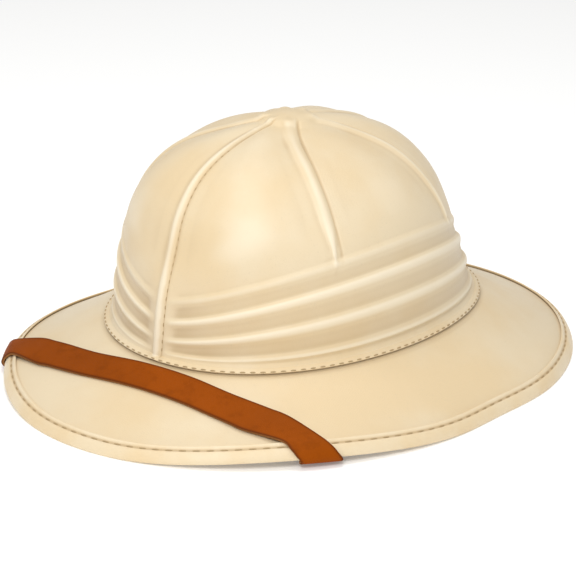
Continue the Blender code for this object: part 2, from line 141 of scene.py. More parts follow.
# The brim and its binding, as sections through the rim: mm in from the rim, and mm up.
BRIM_WALL = 2.2 * MM
BRIM_UNDER_CROWN = 0.3 * MM
BRIM_BELOW_FOOT = 1.2 * MM
BRIM_HOLLOW = 0.14
BRIM_SLOPE = 0.5
BRIM_EDGE = (
    dict(inset=2.25, up=3.0),
    dict(inset=2.8, up=3.8),
    dict(inset=4.7, up=5.3),
    dict(inset=7.0, up=6.6),
)
BINDING_WALL = 1.0 * MM
BINDING_INSET = 6.4
TAPE_TOP = 4.0
TAPE_MARKS = (
    # on the tape's upper side, in mm: painted shade in the groove that the stitches pull in, and a painted
    # highlight, partly rubbing, along the edge
    dict(inset=4.0, half=1.3, relief=-0.9),
    dict(inset=5.2, half=1.0, relief=0.4),
)
BINDING = (
    # from under the brim round the rim to the edge on top, with the stitches' groove at inset 4
    dict(inset=8.8, up=3.1),
    dict(inset=7.6, up=2.5),
    dict(inset=5.6, up=1.0),
    dict(inset=4.0, up=0.0),
    dict(inset=2.4, up=0.0),
    dict(inset=0.7, up=0.0),
    dict(inset=0.0, up=0.8),
    dict(inset=0.25, up=2.0),
    dict(inset=0.9, up=3.4),
    dict(inset=1.75, up=4.7),
    dict(inset=2.8, up=5.75),
    dict(inset=3.5, up=5.85),
    dict(inset=4.0, up=5.95),
    dict(inset=4.6, up=6.6),
    dict(inset=5.3, up=7.35),
    dict(inset=5.9, up=7.7),
    dict(inset=6.4, up=7.6),
)

# The chin strap: its middle line over the brim, from the wearer's right to the left.
STRAP_WIDTH = 17.0 * MM
STRAP_WALL = 1.5 * MM
STRAP_RIGHT_TURN = -47.5
STRAP_LEFT_TURN = 52.5
STRAP_WRAP_SPREAD = 3.9
STRAP_OVER_BRIM = (
    dict(x=-60.0, y=-115.5),
    dict(x=-30.0, y=-117.2),
    dict(x=0.0, y=-115.4),
    dict(x=30.0, y=-112.6),
    dict(x=60.0, y=-109.8),
)
STRAP_WRAP = (
    # round the rim: mm in from it, mm up, and degrees towards the front, as the strap crosses it aslant
    dict(inset=5.6, up=8.1, ahead=3.6),
    dict(inset=1.4, up=5.2, ahead=1.7),
    dict(inset=-0.4, up=2.1, ahead=0.6),
    dict(inset=-0.6, up=0.5, ahead=0.0),
    dict(inset=0.5, up=-0.45, ahead=0.0),
    dict(inset=4.3, up=-0.45, ahead=0.0),
)
STRAP_STEPS = 20
STRAP_BRIDGE = 1.8 * MM
STRAP_BRIDGE_SHARE = 0.3
STRAP_BRIDGE_TILT = 0.8
STRAP_ASLANT_SHARE = 0.35
STRAP_PROBE = 0.01
STRAP_UNDER = (0.16, 0.36, 0.56, 0.76)
STRAP_TWIST_FROM = 0.15
STRAP_TAB_ROWS = (0.0, 0.35, 0.7, 1.0)
STRAP_TAB_TURN = 68.0
STRAP_TAB_LENGTH = 38.0 * MM
STRAP_TAB_TILT = 50.0
STRAP_TAB_UP = -12.0 * MM
STRAP_IN_FROM_SKIN = 4.8 * MM
STRAP_SLACK = 0.8 * MM
TAPE_STEP = 5.0 * MM
TAPE_LIFT = 1.6 * MM
GAP = 0.3 * MM

# The seams. Share is a stitch's part of the pitch, up is how much more the cloth faces up than out there,
# and off is how far the thread lies off the cloth.
FOOT_SEAM = dict(share=0.62, up=1.2, off=0.12 * MM)
RIM_SEAM = dict(share=0.6, up=1.0, off=0.15 * MM)
RIB_SEAM = dict(share=0.6, thread=0.8, low=4.0 * MM, high=0.94 * CROWN_HEIGHT, off=0.1 * MM)
TAB_SEAM = dict(length=3.0 * MM, pitch=4.2 * MM, near=0.55, far=0.95, side=0.16, off=STRAP_WALL + 0.1 * MM)
LIP_STITCH_SHARE = 0.82
STITCH_INSET = 4.0 * MM
STITCH_UP = 6.0 * MM
TURN_PROBE = 0.01
SKIN_PROBE = 0.05
RISE_PROBE = 0.01

# The wear and the painted light, as relief from -1 in a groove to 1 on a crest: crests paler from rubbing
# and painted highlight, pleat grooves darker from dirt and painted shade, and the brim darker by the crown's
# foot and the binding from painted shade alone. Then the brim's unevenness from pressing.
RUB_AND_SHADING_DEPTH = 0.55 * MM
RUB_AND_SHADING_REACH = 6
# Painted shade on the brim: darker in the corner by the crown's foot and along the binding's inner edge.
FOOT_PAINTED_SHADE = 0.9
FOOT_PAINTED_SHADE_REACH = 3.0 * MM
RIM_PAINTED_SHADE = 0.6
RIM_PAINTED_SHADE_REACH = 1.6 * MM
WAVE_HEIGHT = 0.16 * MM
WAVES_CLEAR_FOOT = 8.0 * MM
WAVES_CLEAR_RIM = 3.0
WAVES = (
    # how many go round the brim, how they slant per metre in from the rim, and their start and share
    dict(count=5, slant=40, start=0.0, share=1.0),
    dict(count=9, slant=-95, start=1.3, share=0.7),
    dict(count=17, slant=140, start=0.6, share=0.5),
)

# The studio, in metres.
FLOOR_SIZE = 12
FLOOR_DROP = 0.05 * MM
ROOM_COLOUR = (1.0, 0.995, 0.985)
KEY_LIGHT = dict(place=(0.70, -1.08, 1.18), aim=(0, 0, 0.06), size=0.7)
TOP_LIGHT = dict(place=(-0.05, -0.05, 1.5), aim=(0, 0, 0.05), size=0.9)

# How finely the pieces are cut, and how the strap is rounded.
NEAR_RIB = 12.0 * MM
NEAR_RIB_SHARE = 0.6
NEAR_RIB_COLUMNS = 15
PANEL_COLUMNS = 9
BOSS_ROWS = 22
BOSS_REACH = 24.0 * MM
PANEL_ROWS = 34
PANEL_NARROWS = 0.7
PANEL_START = 8.0 * MM
ROWS_IN_PLEAT = 15
LIP_ROWS = 7
RIM_COLUMNS = 480
BRIM_ROWS = 44
BRIM_EDGE_ROWS = 12
BINDING_ROWS = 56
STRAP_ROWS_BETWEEN = 7
STRAP_COLUMNS = 12
STRAP_ROUNDING = 0.3 * MM
SHARP_EDGE = 50.0
BORDER_SHARE = 0.1
HALVINGS = 30


def colour_prop(name, description, default):
    return FloatVectorProperty(
        name=name, description=description, default=default, size=3, min=0, max=1, subtype="COLOR",
    )


def length_prop(name, description, default, least, most):
    """A length, given in millimetres."""
    return FloatProperty(
        name=name, description=description, default=default * MM, min=least * MM, max=most * MM,
        unit="LENGTH",
    )


def angle_prop(name, description, degrees):
    return FloatProperty(name=name, description=description, default=math.radians(degrees), unit="ROTATION")


def number_prop(name, description, default, low, high, **kind):
    return FloatProperty(name=name, description=description, default=default, min=low, max=high, **kind)


class HelmetColours(bpy.types.PropertyGroup):
    """Colours of the cloth, the leather and the floor."""

    cloth: colour_prop("Cloth", "The cream cloth in plain light", (0.755, 0.628, 0.43))
    # Paler cloth on the crests: partly rubbing and sun, partly painted highlight.
    cloth_rubbed_and_lit: colour_prop(
        "Rubbed cloth", "The cloth along crests, where hands and sun have paled it", (0.88, 0.78, 0.60)
    )
    # Darker cloth in grooves and corners: painted shade, with some dirt in the pleat grooves.
    cloth_dusty_and_shaded: colour_prop(
        "Dusty cloth", "The cloth in grooves, where dust has darkened it", (0.50, 0.355, 0.19)
    )
    # A darker copy of the cloth for inner walls and undersides: painted shade.
    cloth_inside_shaded: colour_prop(
        "Inside", "The bare pressed shell inside the crown and under the brim", (0.58, 0.46, 0.30)
    )
    binding: colour_prop("Binding", "The woven tape round the rim", (0.77, 0.635, 0.43))
    leather: colour_prop("Leather", "The grain side of the chin strap", (0.245, 0.050, 0.001))
    leather_edge: colour_prop("Leather edge", "The strap's darker worn borders", (0.085, 0.017, 0.002))
    leather_back: colour_prop("Leather back", "The strap's raw underside", (0.39, 0.1875, 0.0675))
    thread: colour_prop("Thread", "The sewing thread", (0.50, 0.355, 0.185))
    floor: colour_prop("Floor", "The plain floor", (0.93, 0.93, 0.925))


class HelmetSewing(bpy.types.PropertyGroup):
    """Sizes of the stitches and the weave."""

    foot_pitch: length_prop("Foot stitch pitch", "From stitch to stitch round the crown's foot", 5.0, 2, 10)
    rim_pitch: length_prop("Rim stitch pitch", "From stitch to stitch along the binding", 6.7, 2, 12)
    rib_pitch: length_prop("Rib stitch pitch", "From stitch to stitch down the front rib's seam", 4.2, 2, 10)
    thread_width: length_prop("Thread width", "How thick the sewing thread is", 0.7, 0.3, 2)
    weave: length_prop("Weave", "From one thread of the cloth to the next", 0.7, 0.2, 3)


class HelmetStudio(bpy.types.PropertyGroup):
    """The camera and the lights."""

    camera_turn: angle_prop("Camera turn", "How far round from the front the camera stands", 41.68)
    camera_rise: angle_prop("Camera rise", "How far above the floor it looks from", 20.135)
    camera_roll: angle_prop("Camera roll", "How far it is tilted sideways", 0.603)
    camera_distance: number_prop(
        "Camera distance", "From the lens to the point it looks at", 1.5, 0.5, 5, unit="LENGTH"
    )
    lens: number_prop("Lens", "Focal length on a 36 mm sensor", 179.17, 20, 400, unit="CAMERA")
    aim_across: length_prop(
        "Aim across", "How far right of the hat's middle the camera looks", -3.285, -200, 200
    )
    aim_up: length_prop(
        "Aim up", "How far above the hat's base it looks, square to its line of sight", 35.106, -200, 200
    )
    key_power: number_prop(
        "Key light", "Power of the large light above and beside the camera", 14.0, 0, 500, unit="POWER"
    )
    top_power: number_prop("Top light", "Power of the soft light overhead", 8.6, 0, 500, unit="POWER")
    floor_glow: number_prop(
        "Floor glow", "How much the floor shines by itself, which keeps it white far off", 0.17, 0, 1,
        subtype="FACTOR",
    )
    room_light: number_prop(
        "Room light", "Strength of the even light from all round", 0.45, 0, 5, subtype="FACTOR"
    )


def smoothstep(low, high, x):
    x = min(max((x - low) / (high - low), 0.0), 1.0)
    return x * x * (3 - 2 * x)


def bell(x):
    return max(1 - x * x, 0.0) ** 2


def half_turn(turn):
    """A turn in radians as an angle from the front, 0 to 180 degrees, alike on both sides."""
    return abs(math.degrees(math.remainder(turn, math.tau)))


def curve(values, i, u):
    """A value on the smooth curve through a list of them, at the share u of the way on from value i."""
    a, b = values[i], values[i + 1]
    before = values[i - 1] if i else 2 * a - b
    after = values[i + 2] if i < len(values) - 2 else 2 * b - a
    ta, tb = (b - before) / 2, (after - a) / 2
    return a + u * (ta + u * (3 * (b - a) - 2 * ta - tb + u * (ta + tb - 2 * (b - a))))


def between(table, column, x, at):
    """A column of a table at x, along a smooth curve through its rows."""
    steps = [row[at] for row in table]
    i = max(k for k in range(len(table) - 1) if k == 0 or steps[k] <= x)
    return curve([row[column] for row in table], i, (x - steps[i]) / (steps[i + 1] - steps[i]))


def along(rows, share):
    """A point on the smooth curve through a list of points, at a share of their number."""
    place = share * (len(rows) - 1)
    i = min(int(place), len(rows) - 2)
    return curve(rows, i, place - i)


def rim_share(turn):
    off = (half_turn(turn) - SIDE_FLARE_TURN) / SIDE_FLARE_SPREAD
    return 1 + SIDE_FLARE / RIM_HALF_WIDTH * math.exp(-off * off)


def foot_share(turn):
    return FOOT_SHARE * (1 - FOOT_SQUARENESS * math.cos(4 * turn))


def ray(turn):
    """Metres of plan for a share of 1 at this turn."""
    return math.hypot(RIM_HALF_WIDTH * math.sin(turn), RIM_HALF_LENGTH * math.cos(turn))


def brim_width(turn):
    """How far the crown's foot is in from the rim, along the ray."""
    return (rim_share(turn) - foot_share(turn)) * ray(turn)


def plan(turn, share):
    return RIM_HALF_WIDTH * math.sin(turn) * share, -RIM_HALF_LENGTH * math.cos(turn) * share


def lift(turn):
    off = abs(half_turn(turn) - STRAP_LIFT_TURN) / STRAP_LIFT_SPREAD
    return STRAP_LIFT * math.cos(math.pi / 2 * min(off, 1.0)) ** 2


def foot_height(turn):
    return FOOT_HEIGHT - FOOT_NOSE_DOWN * math.cos(turn) - FOOT_SIDES_UP * math.cos(2 * turn)


def at_rim(turn, inset, up):
    """A point this far in from the rim along the ray, and up from the rim's base."""
    x, y = plan(turn, rim_share(turn) - inset / ray(turn))
    return Vector((x, y, lift(turn) + up))


def brim_top(turn, inset):
    """The height of the brim's upper face."""
    edge = BRIM_EDGE[-1]
    if inset < edge["inset"] * MM:
        return lift(turn) + between(BRIM_EDGE, "up", inset / MM, "inset") * MM
    low = lift(turn) + edge["up"] * MM
    high = foot_height(turn) - BRIM_BELOW_FOOT
    whole = brim_width(turn) - edge["inset"] * MM
    u = (inset - edge["inset"] * MM) / whole
    return low + (high - low) * u * (1 - BRIM_HOLLOW * (1 - u))


def on_brim(x, y, above):
    """A point this far above the brim's upper face, or above the binding where that lies on it."""
    turn = math.atan2(x / RIM_HALF_WIDTH, -y / RIM_HALF_LENGTH)
    share = math.hypot(x / RIM_HALF_WIDTH, y / RIM_HALF_LENGTH)
    inset = (rim_share(turn) - share) * ray(turn)
    edge = BINDING_INSET * MM
    tape = TAPE_LIFT * (1 - smoothstep(edge, edge + TAPE_STEP, inset))
    return Vector((x, y, brim_top(turn, inset) + tape + above))


def pleat_height(pleat, turn):
    """How high a pleat's crest stands above the foot: low at the front and the back, high at the sides."""
    soft = PLEAT_ROUNDING
    swing = (math.hypot(math.sin(turn), soft) - soft) / (math.hypot(1, soft) - soft)
    end = pleat["front"] if math.cos(turn) > 0 else pleat["back"]
    return (end + (pleat["side"] - end) * swing) * MM


def pleat_relief(turn, height):
    """How far the pleats set the skin back: each is a face that falls in, then a ledge out to the next."""
    crests = [pleat_height(pleat, turn) for pleat in PLEATS] + [0.0]
    if height >= crests[0]:
        above = (height - crests[0]) / MM
        dip = TOP_DIP["depth"] * MM * smoothstep(0, TOP_DIP["start"], above)
        return PLEAT_SET_BACK * math.exp(-above / SET_BACK_EASE) + dip * math.exp(-above / TOP_DIP["ease"])
    tier = max(k for k in range(len(PLEATS)) if height <= crests[k])
    span = crests[tier] - crests[tier + 1]
    x = (crests[tier] - height) / span
    fall = smoothstep(0, PLEAT_FALL, x) - smoothstep(1 - PLEAT_LEDGE, 1, x)
    depth = min(PLEAT_DEPTH, PLEAT_DEPTH_SHARE * span)
    return (PLEAT_SET_BACK + depth * fall) * smoothstep(0, PLEAT_FOOT_EASE, height)


def rib_relief(turn, height, radius):
    """The ribs with their seams, and how much of the pleats is left beside the two that reach the foot."""
    step = math.tau / RIB_COUNT
    near = round(turn / step)
    to_left = (turn - near * step) * radius
    aside = abs(to_left)
    seam = bell((to_left - RIB_SEAM_ASIDE) / RIB_SEAM_HALF_WIDTH)
    if near % (RIB_COUNT // 2) == 0:
        kept = smoothstep(*PLEAT_FADE, aside)
        return RIB_HEIGHT * bell(aside / RIB_HALF_WIDTH) - FRONT_SEAM_DEPTH * seam, kept
    above = height - pleat_height(PLEATS[0], turn)
    width = RIB_HALF_WIDTH * (RIB_TIP + (1 - RIB_TIP) * smoothstep(0, RIB_TAPER, above))
    there = smoothstep(*RIB_END, above)
    return (RIB_HEIGHT * bell(aside / width) - OTHER_SEAM_DEPTH * seam) * there, 1.0


def crown_relief(turn, height, radius):
    """How far the crown's skin stands out of its plain form."""
    top = pleat_height(PLEATS[0], turn)
    panel = smoothstep(top, top + PANEL_EASE, height) * smoothstep(*PANEL_RADII, radius)
    rib, kept = rib_relief(turn, height, radius)
    out = rib - PANEL_BULGE * math.cos(RIB_COUNT * turn) * panel - kept * pleat_relief(turn, height)
    return out * smoothstep(BOSS_RADIUS - BOSS_CLEARS_RIBS, BOSS_RADIUS + BOSS_CLEARS_RIBS, radius)


def crown_level(turn, rise):
    """The plain crown's half width at this rise, and its reach to the front or the back."""
    end = "front" if math.cos(turn) > 0 else "back"
    return [between(CROWN_LEVELS, column, math.degrees(rise), "rise") * MM for column in ("side", end)]


def crown_skin(turn, rise):
    """A point of the crown's outer skin, and its relief there."""
    height = CROWN_HEIGHT * math.sin(rise)
    side, end = crown_level(turn, rise)
    squareness = 1 - FOOT_SQUARENESS * math.cos(4 * turn) * math.exp(-2 * rise)
    x = side * math.sin(turn) * squareness
    y = -end * math.cos(turn) * squareness
    radius = math.hypot(x, y)
    out = crown_relief(turn, height, radius)
    boss = BOSS_HEIGHT - BOSS_DOME * min(radius / BOSS_RADIUS, 1.0) ** 2
    boss *= 1 - smoothstep(BOSS_RADIUS, BOSS_RADIUS + BOSS_SHOULDER, radius)
    base = foot_height(turn) * (1 - math.sin(rise)) + FOOT_HEIGHT * math.sin(rise)
    away = Vector((x, y, max(height - RELIEF_TURNS_UP, 0.0))).normalized()
    lean = CROWN_FORWARD * math.sin(rise) ** CROWN_LEAN_POWER
    return Vector((x, y - lean, base + height + boss)) + away * out, out


def plain_skin(turn, rise):
    return crown_skin(turn, rise)[0]


def rise_at_radius(turn, radius):
    """The rise at which the plain crown is this far from its axis, near the top."""
    low, high = math.radians(45), math.radians(90)
    for _ in range(HALVINGS):
        rise = (low + high) / 2
        side, end = crown_level(turn, rise)
        reach = math.hypot(side * math.sin(turn), end * math.cos(turn))
        low, high = (rise, high) if reach > radius else (low, rise)
    return rise


def crown_columns(radius):
    """The turns of the crown's columns on a level of this radius: close together along the ribs."""
    half_panel = math.pi / RIB_COUNT
    near = min(NEAR_RIB / radius, half_panel * NEAR_RIB_SHARE)
    aside = [near * k / NEAR_RIB_COLUMNS for k in range(1, NEAR_RIB_COLUMNS + 1)]
    aside += [near + (half_panel - near) * k / PANEL_COLUMNS for k in range(1, PANEL_COLUMNS + 1)]
    turns = []
    for rib in range(RIB_COUNT):
        middle = 2 * half_panel * rib
        turns += [middle - off for off in reversed(aside[:-1])] + [middle] + [middle + off for off in aside]
    return turns + [turns[0] + math.tau]


def on_lip(turn, out):
    """A point of the lip's upper face, at a share of its width out from the crown's wall."""
    width = LIP_WIDTH * out
    x, y = plan(turn, foot_share(turn) + width / ray(turn))
    seat = brim_top(turn, brim_width(turn) - width) + GAP + LIP_LIFT
    root = foot_height(turn) + FOOT_ABOVE_SEAM
    return Vector((x, y, root + (seat - root) * between(LIP, "down", out, "out")))


def tier_height(turn, tier, share):
    """The height at a share of the way up a tier. The tiers part at the pleats' crests."""
    crests = [pleat_height(pleat, turn) for pleat in reversed(PLEATS)]
    levels = [FOOT_ABOVE_SEAM, *crests, crests[-1] + PANEL_START]
    return levels[tier] + (levels[tier + 1] - levels[tier]) * share


def crown_rings():
    """Rings of (point, relief, share of the wall), from the lip's edge up to the middle of the boss."""
    turns = crown_columns(RIM_HALF_WIDTH * FOOT_SHARE)
    rings = []
    for k in range(LIP_ROWS):
        out = 1 - k / LIP_ROWS
        wall = between(LIP, "wall", out, "out")
        ring = []
        for turn in turns:
            point = on_lip(turn, out)
            relief = rib_relief(turn, 0.0, ray(turn) * foot_share(turn))[0] * (1 - out)
            away = Vector((point.x, point.y, 0)).normalized() * relief
            # Painted shade in the corner: the lip's relief falls towards the wall.
            ring.append((point + away, relief - LIP_PAINTED_SHADE * (1 - out), wall))
        rings.append(ring)
    for tier in range(len(PLEATS) + 1):
        for step in range(ROWS_IN_PLEAT):
            heights = [tier_height(turn, tier, step / ROWS_IN_PLEAT) for turn in turns]
            rises = [math.asin(height / CROWN_HEIGHT) for height in heights]
            rings.append([(*crown_skin(turn, rise), 1.0) for turn, rise in zip(turns, rises)])
    for step in range(PANEL_ROWS):
        share = step / PANEL_ROWS
        ring = []
        for turn in crown_columns(RIM_HALF_WIDTH * FOOT_SHARE * (1 - PANEL_NARROWS * share * share)):
            low = math.asin(tier_height(turn, len(PLEATS), 1) / CROWN_HEIGHT)
            high = rise_at_radius(turn, BOSS_REACH)
            ring.append((*crown_skin(turn, low + (high - low) * share), 1.0))
        rings.append(ring)
    for step in range(BOSS_ROWS):
        radius = BOSS_REACH * (1 - step / BOSS_ROWS)
        rings.append([(*crown_skin(t, rise_at_radius(t, radius)), 1.0) for t in crown_columns(radius)])
    middle = crown_skin(0.0, math.radians(90))
    rings.append([(*middle, 1.0)] * len(turns))
    return rings


def strap_over_brim():
    """The strap's rows over the brim, from right to left: its front edge, its middle and its back edge."""
    inset = STRAP_WRAP[0]["inset"] * MM
    turns = (STRAP_RIGHT_TURN + STRAP_WRAP[0]["ahead"], STRAP_LEFT_TURN - STRAP_WRAP[0]["ahead"])
    ends = [at_rim(math.radians(turn), inset, 0) / MM for turn in turns]
    route = [dict(x=ends[0].x, y=ends[0].y), *STRAP_OVER_BRIM, dict(x=ends[1].x, y=ends[1].y)]
    rows = []
    low, high = route[0]["x"], route[-1]["x"]
    for i in range(2, STRAP_STEPS - 1):
        x = low + (high - low) * i / STRAP_STEPS
        y = between(route, "y", x, "x")
        slope = between(route, "y", x + 1, "x") - y
        across = Vector((-slope, 1.0)).normalized()
        near_end = min(i, STRAP_STEPS - i) / STRAP_STEPS
        turn = math.atan2(x / RIM_HALF_WIDTH, -y / RIM_HALF_LENGTH)
        along_rim = Vector(plan(turn + math.copysign(STRAP_PROBE, turn), 1)) - Vector(plan(turn, 1))
        turned = 1 - smoothstep(0.0, STRAP_ASLANT_SHARE, near_end)
        aslant = across.lerp(along_rim.normalized(), turned).normalized()
        off = STRAP_BRIDGE * (1 - smoothstep(0.0, STRAP_BRIDGE_SHARE, near_end))
        middle = on_brim(x * MM, y * MM, 0)
        probe = on_brim(middle.x + aslant.x * MM, middle.y + aslant.y * MM, 0)
        reach = (probe - middle).normalized() * STRAP_WIDTH / 2 / aslant.dot(across)
        row = []
        for s in (-1, 0, 1):
            above = GAP + off * (1 + STRAP_BRIDGE_TILT * s)
            row.append(on_brim(middle.x + s * reach.x, middle.y + s * reach.y, above))
        rows.append(row)
    return rows


def on_wall(turn, up):
    """A point on the strap's way up the inside of the crown, or on that wall carried on below its foot."""
    skin = plain_skin(turn, math.asin(max(up, 0.0) / CROWN_HEIGHT))
    inwards = Vector((-skin.x, -skin.y, 0)).normalized()
    return Vector((skin.x, skin.y, foot_height(turn) + up)) + inwards * STRAP_IN_FROM_SKIN


def strap_row(middle, across):
    return [middle + across * (s * STRAP_WIDTH / 2) for s in (-1, 0, 1)]


def strap_end(turn, side):
    """Rows from the brim round the rim, back underneath and up the crown's inner wall. Side is 1 or -1."""
    spread = math.radians(STRAP_WRAP_SPREAD) * side
    wrap = []
    for place in STRAP_WRAP:
        middle = turn - side * math.radians(place["ahead"])
        wrap.append([at_rim(middle + s * spread, place["inset"] * MM, place["up"] * MM) for s in (-1, 0, 1)])
    tilt = math.radians(STRAP_TAB_TILT)
    tab = []
    for share in STRAP_TAB_ROWS:
        ahead = share * STRAP_TAB_LENGTH
        row = []
        for s in (-1, 0, 1):
            aside = ahead * math.cos(tilt) + s * STRAP_WIDTH / 2 * math.sin(tilt)
            up = STRAP_TAB_UP + ahead * math.sin(tilt) - s * STRAP_WIDTH / 2 * math.cos(tilt)
            spot = math.radians(STRAP_TAB_TURN) + aside / (FOOT_SHARE * RIM_HALF_WIDTH)
            row.append(on_wall(side * spot, up))
        tab.append(row)
    start, stop = wrap[-1][1], tab[0][1]
    run = (stop - start).normalized()
    flat = run.cross(Vector((0, 0, side))).normalized() - Vector((0, 0, BRIM_SLOPE))
    upright = (tab[0][2] - tab[0][0]).normalized()
    under = []
    for ahead in STRAP_UNDER:
        across = flat.lerp(upright, smoothstep(STRAP_TWIST_FROM, 1.0, ahead))
        middle = start.lerp(stop, ahead) - Vector((0, 0, STRAP_SLACK * math.sin(math.pi * ahead)))
        under.append(strap_row(middle, (across - run * across.dot(run)).normalized()))
    return wrap + under + tab


def strap_rows():
    right = strap_end(math.radians(STRAP_RIGHT_TURN), -1)
    left = strap_end(math.radians(STRAP_LEFT_TURN), 1)
    return [*reversed(right), *strap_over_brim(), *left]


def deselect_all():
    if bpy.context.mode != "OBJECT":
        bpy.ops.object.mode_set(mode="OBJECT")
    bpy.ops.object.select_all(action="DESELECT")


def bent_grid(name, columns, rows, place):
    """A grid whose points go where place(column, row) says. It also gives each point's relief and wall."""
    deselect_all()
    bpy.ops.mesh.primitive_grid_add(x_subdivisions=columns, y_subdivisions=rows, size=1)
    piece = bpy.context.object
    piece.name = name
    piece.data.name = name
    relief = piece.data.attributes.new("relief", "FLOAT", "POINT")
    walls = piece.vertex_groups.new(name="wall")
    shares = {}
    for vertex in piece.data.vertices:
        i = round((vertex.co.x + 0.5) * columns)
        j = round((vertex.co.y + 0.5) * rows)
        vertex.co, relief.data[vertex.index].value, share = place(i, j)
        shares.setdefault(round(share, 3), []).append(vertex.index)
    for share, members in shares.items():
        walls.add(members, share, "REPLACE")
    return piece


def close_seams(piece):
    bpy.context.view_layer.objects.active = piece
    bpy.ops.object.mode_set(mode="EDIT")
    bpy.ops.mesh.select_all(action="SELECT")
    bpy.ops.mesh.remove_doubles(threshold=0.01 * MM)
    bpy.ops.object.mode_set(mode="OBJECT")


def modify(piece, kind, **settings):
    """Gives a piece a modifier with these settings and applies it."""
    bpy.ops.object.modifier_add(type=kind)
    modifier = piece.modifiers[-1]
    for key, value in settings.items():
        setattr(modifier, key, value)
    bpy.ops.object.modifier_apply(modifier=modifier.name)


def give_wall(piece, thickness, offset):
    """Gives the surface its wall and marks the side that faces in or down in the attribute inside."""
    outer = len(piece.data.vertices)
    first = piece.data.vertices[0].co.copy()
    modify(piece, "SOLIDIFY", thickness=thickness, offset=offset, use_even_offset=True, vertex_group="wall")
    inside = piece.data.attributes.new("inside", "FLOAT", "POINT")
    first_stayed = (piece.data.vertices[0].co - first).length < 0.01 * MM
    first_is_inner = first_stayed == (offset > 0)
    for vertex in piece.data.vertices:
        inside.data[vertex.index].value = float((vertex.index < outer) == first_is_inner)


def smooth(piece, angle=60):
    deselect_all()
    piece.select_set(True)
    bpy.context.view_layer.objects.active = piece
    bpy.ops.object.shade_smooth_by_angle(angle=math.radians(angle))


def finish_piece(piece, material, nodes=()):
    """Gives a piece its material and its body, and lets it stand for CAD nodes."""
    piece.data.materials.clear()
    piece.data.materials.append(material)
    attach(piece, "root")
    for name in nodes:
        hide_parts(name)
    return piece


def sharpened(values, reach):
    """Each value less the mean of those near it, down the rows and along the columns, as -1 to 1."""
    field = np.array(values)
    mean = np.zeros_like(field)
    for shift in range(-reach, reach + 1):
        rows = np.clip(np.arange(field.shape[0]) + shift, 0, field.shape[0] - 1)
        mean += field[rows] + np.roll(field, shift, axis=1)
    mean /= 2 * (2 * reach + 1)
    return np.clip((field - mean) / RUB_AND_SHADING_DEPTH, -1, 1)


def feed(socket, value):
    """Links another socket to this one, or sets it to a number or a plain colour."""
    if isinstance(value, bpy.types.NodeSocket):
        socket.id_data.links.new(value, socket)
    elif isinstance(value, (int, float)):
        socket.default_value = value
    else:
        socket.default_value = (*value, 1)


def set_inputs(node, **values):
    """Feeds a node's sockets by their names, with underscores for spaces."""
    for key, value in values.items():
        feed(node.inputs[key.replace("_", " ")], value)


def add(tree, kind, **settings):
    """A node of this kind. Each setting is one of its own properties or else the name of a socket."""
    made = tree.nodes.new("ShaderNode" + kind)
    for key, value in settings.items():
        if hasattr(made, key):
            setattr(made, key, value)
        else:
            set_inputs(made, **{key: value})
    return made


def mix_colour(tree, factor, first, second):
    """A colour mixed from two, each a colour socket or a plain colour."""
    made = add(tree, "Mix", data_type="RGBA")
    for index, value in ((0, factor), (6, first), (7, second)):
        feed(made.inputs[index], value)
    return made.outputs[2]


def work_out(tree, operation, *values):
    """A number worked out from one to three others, each a socket or a plain number."""
    made = add(tree, "Math", operation=operation)
    for socket, value in zip(made.inputs, values):
        feed(socket, value)
    return made.outputs[0]


def ramp(tree, value, low, high):
    """A number eased from 0 at low to 1 at high."""
    eased = add(tree, "MapRange", interpolation_type="SMOOTHSTEP", Value=value, From_Min=low, From_Max=high)
    return eased.outputs["Result"]


def noise(tree, place, scale, detail=3.0, roughness=0.5):
    made = add(tree, "TexNoise", Vector=place, Scale=scale, Detail=detail, Roughness=roughness)
    return made.outputs["Fac"]


def shade(colour, share):
    return [channel * share for channel in colour]


def new_group(name, inputs, outputs):
    """An empty shader group's tree, the sockets that it is given and the node that puts its results out."""
    tree = bpy.data.node_groups.new(name, "ShaderNodeTree")
    for socket, kind in inputs.items():
        tree.interface.new_socket(socket, in_out="INPUT", socket_type=kind)
    for socket, kind in outputs.items():
        tree.interface.new_socket(socket, in_out="OUTPUT", socket_type=kind)
    return tree, tree.nodes.new("NodeGroupInput").outputs, tree.nodes.new("NodeGroupOutput")


def weave_group():
    """The cloth's weave and pressed surface: a height for its bump, slow patches and small flecks."""
    found = bpy.data.node_groups.get("cloth_weave")
    if found:
        return found
    number = "NodeSocketFloat"
    tree, given, result = new_group(
        "cloth_weave", {"Thread pitch": number, "Patch size": number},
        {"Height": number, "Patch": number, "Fleck": number},
    )
    place = add(tree, "TexCoord").outputs["Object"]
    split = add(tree, "SeparateXYZ", Vector=place).outputs
    rate = work_out(tree, "DIVIDE", math.tau, given["Thread pitch"])
    waves = [work_out(tree, "SINE", work_out(tree, "MULTIPLY", split[axis], rate)) for axis in "XYZ"]
    threads = [work_out(tree, "MULTIPLY", waves[k], waves[(k + 1) % 3]) for k in range(3)]
    weave = work_out(tree, "ADD", work_out(tree, "ADD", threads[0], threads[1]), threads[2])
    fuzz = noise(tree, place, scale=2200.0, detail=2.0)
    press = noise(tree, place, scale=260.0, detail=4.0)
    height = work_out(tree, "MULTIPLY_ADD", weave, 0.10, fuzz)
    patch_rate = work_out(tree, "DIVIDE", 1.0, given["Patch size"])
    patches = noise(tree, place, patch_rate, detail=4.0, roughness=0.55)
    flecks = noise(tree, place, scale=900.0, detail=2.0)
    set_inputs(
        result, Height=work_out(tree, "MULTIPLY_ADD", press, 0.9, height),
        Patch=ramp(tree, patches, low=0.35, high=0.68), Fleck=ramp(tree, flecks, low=0.60, high=0.72),
    )
    return tree


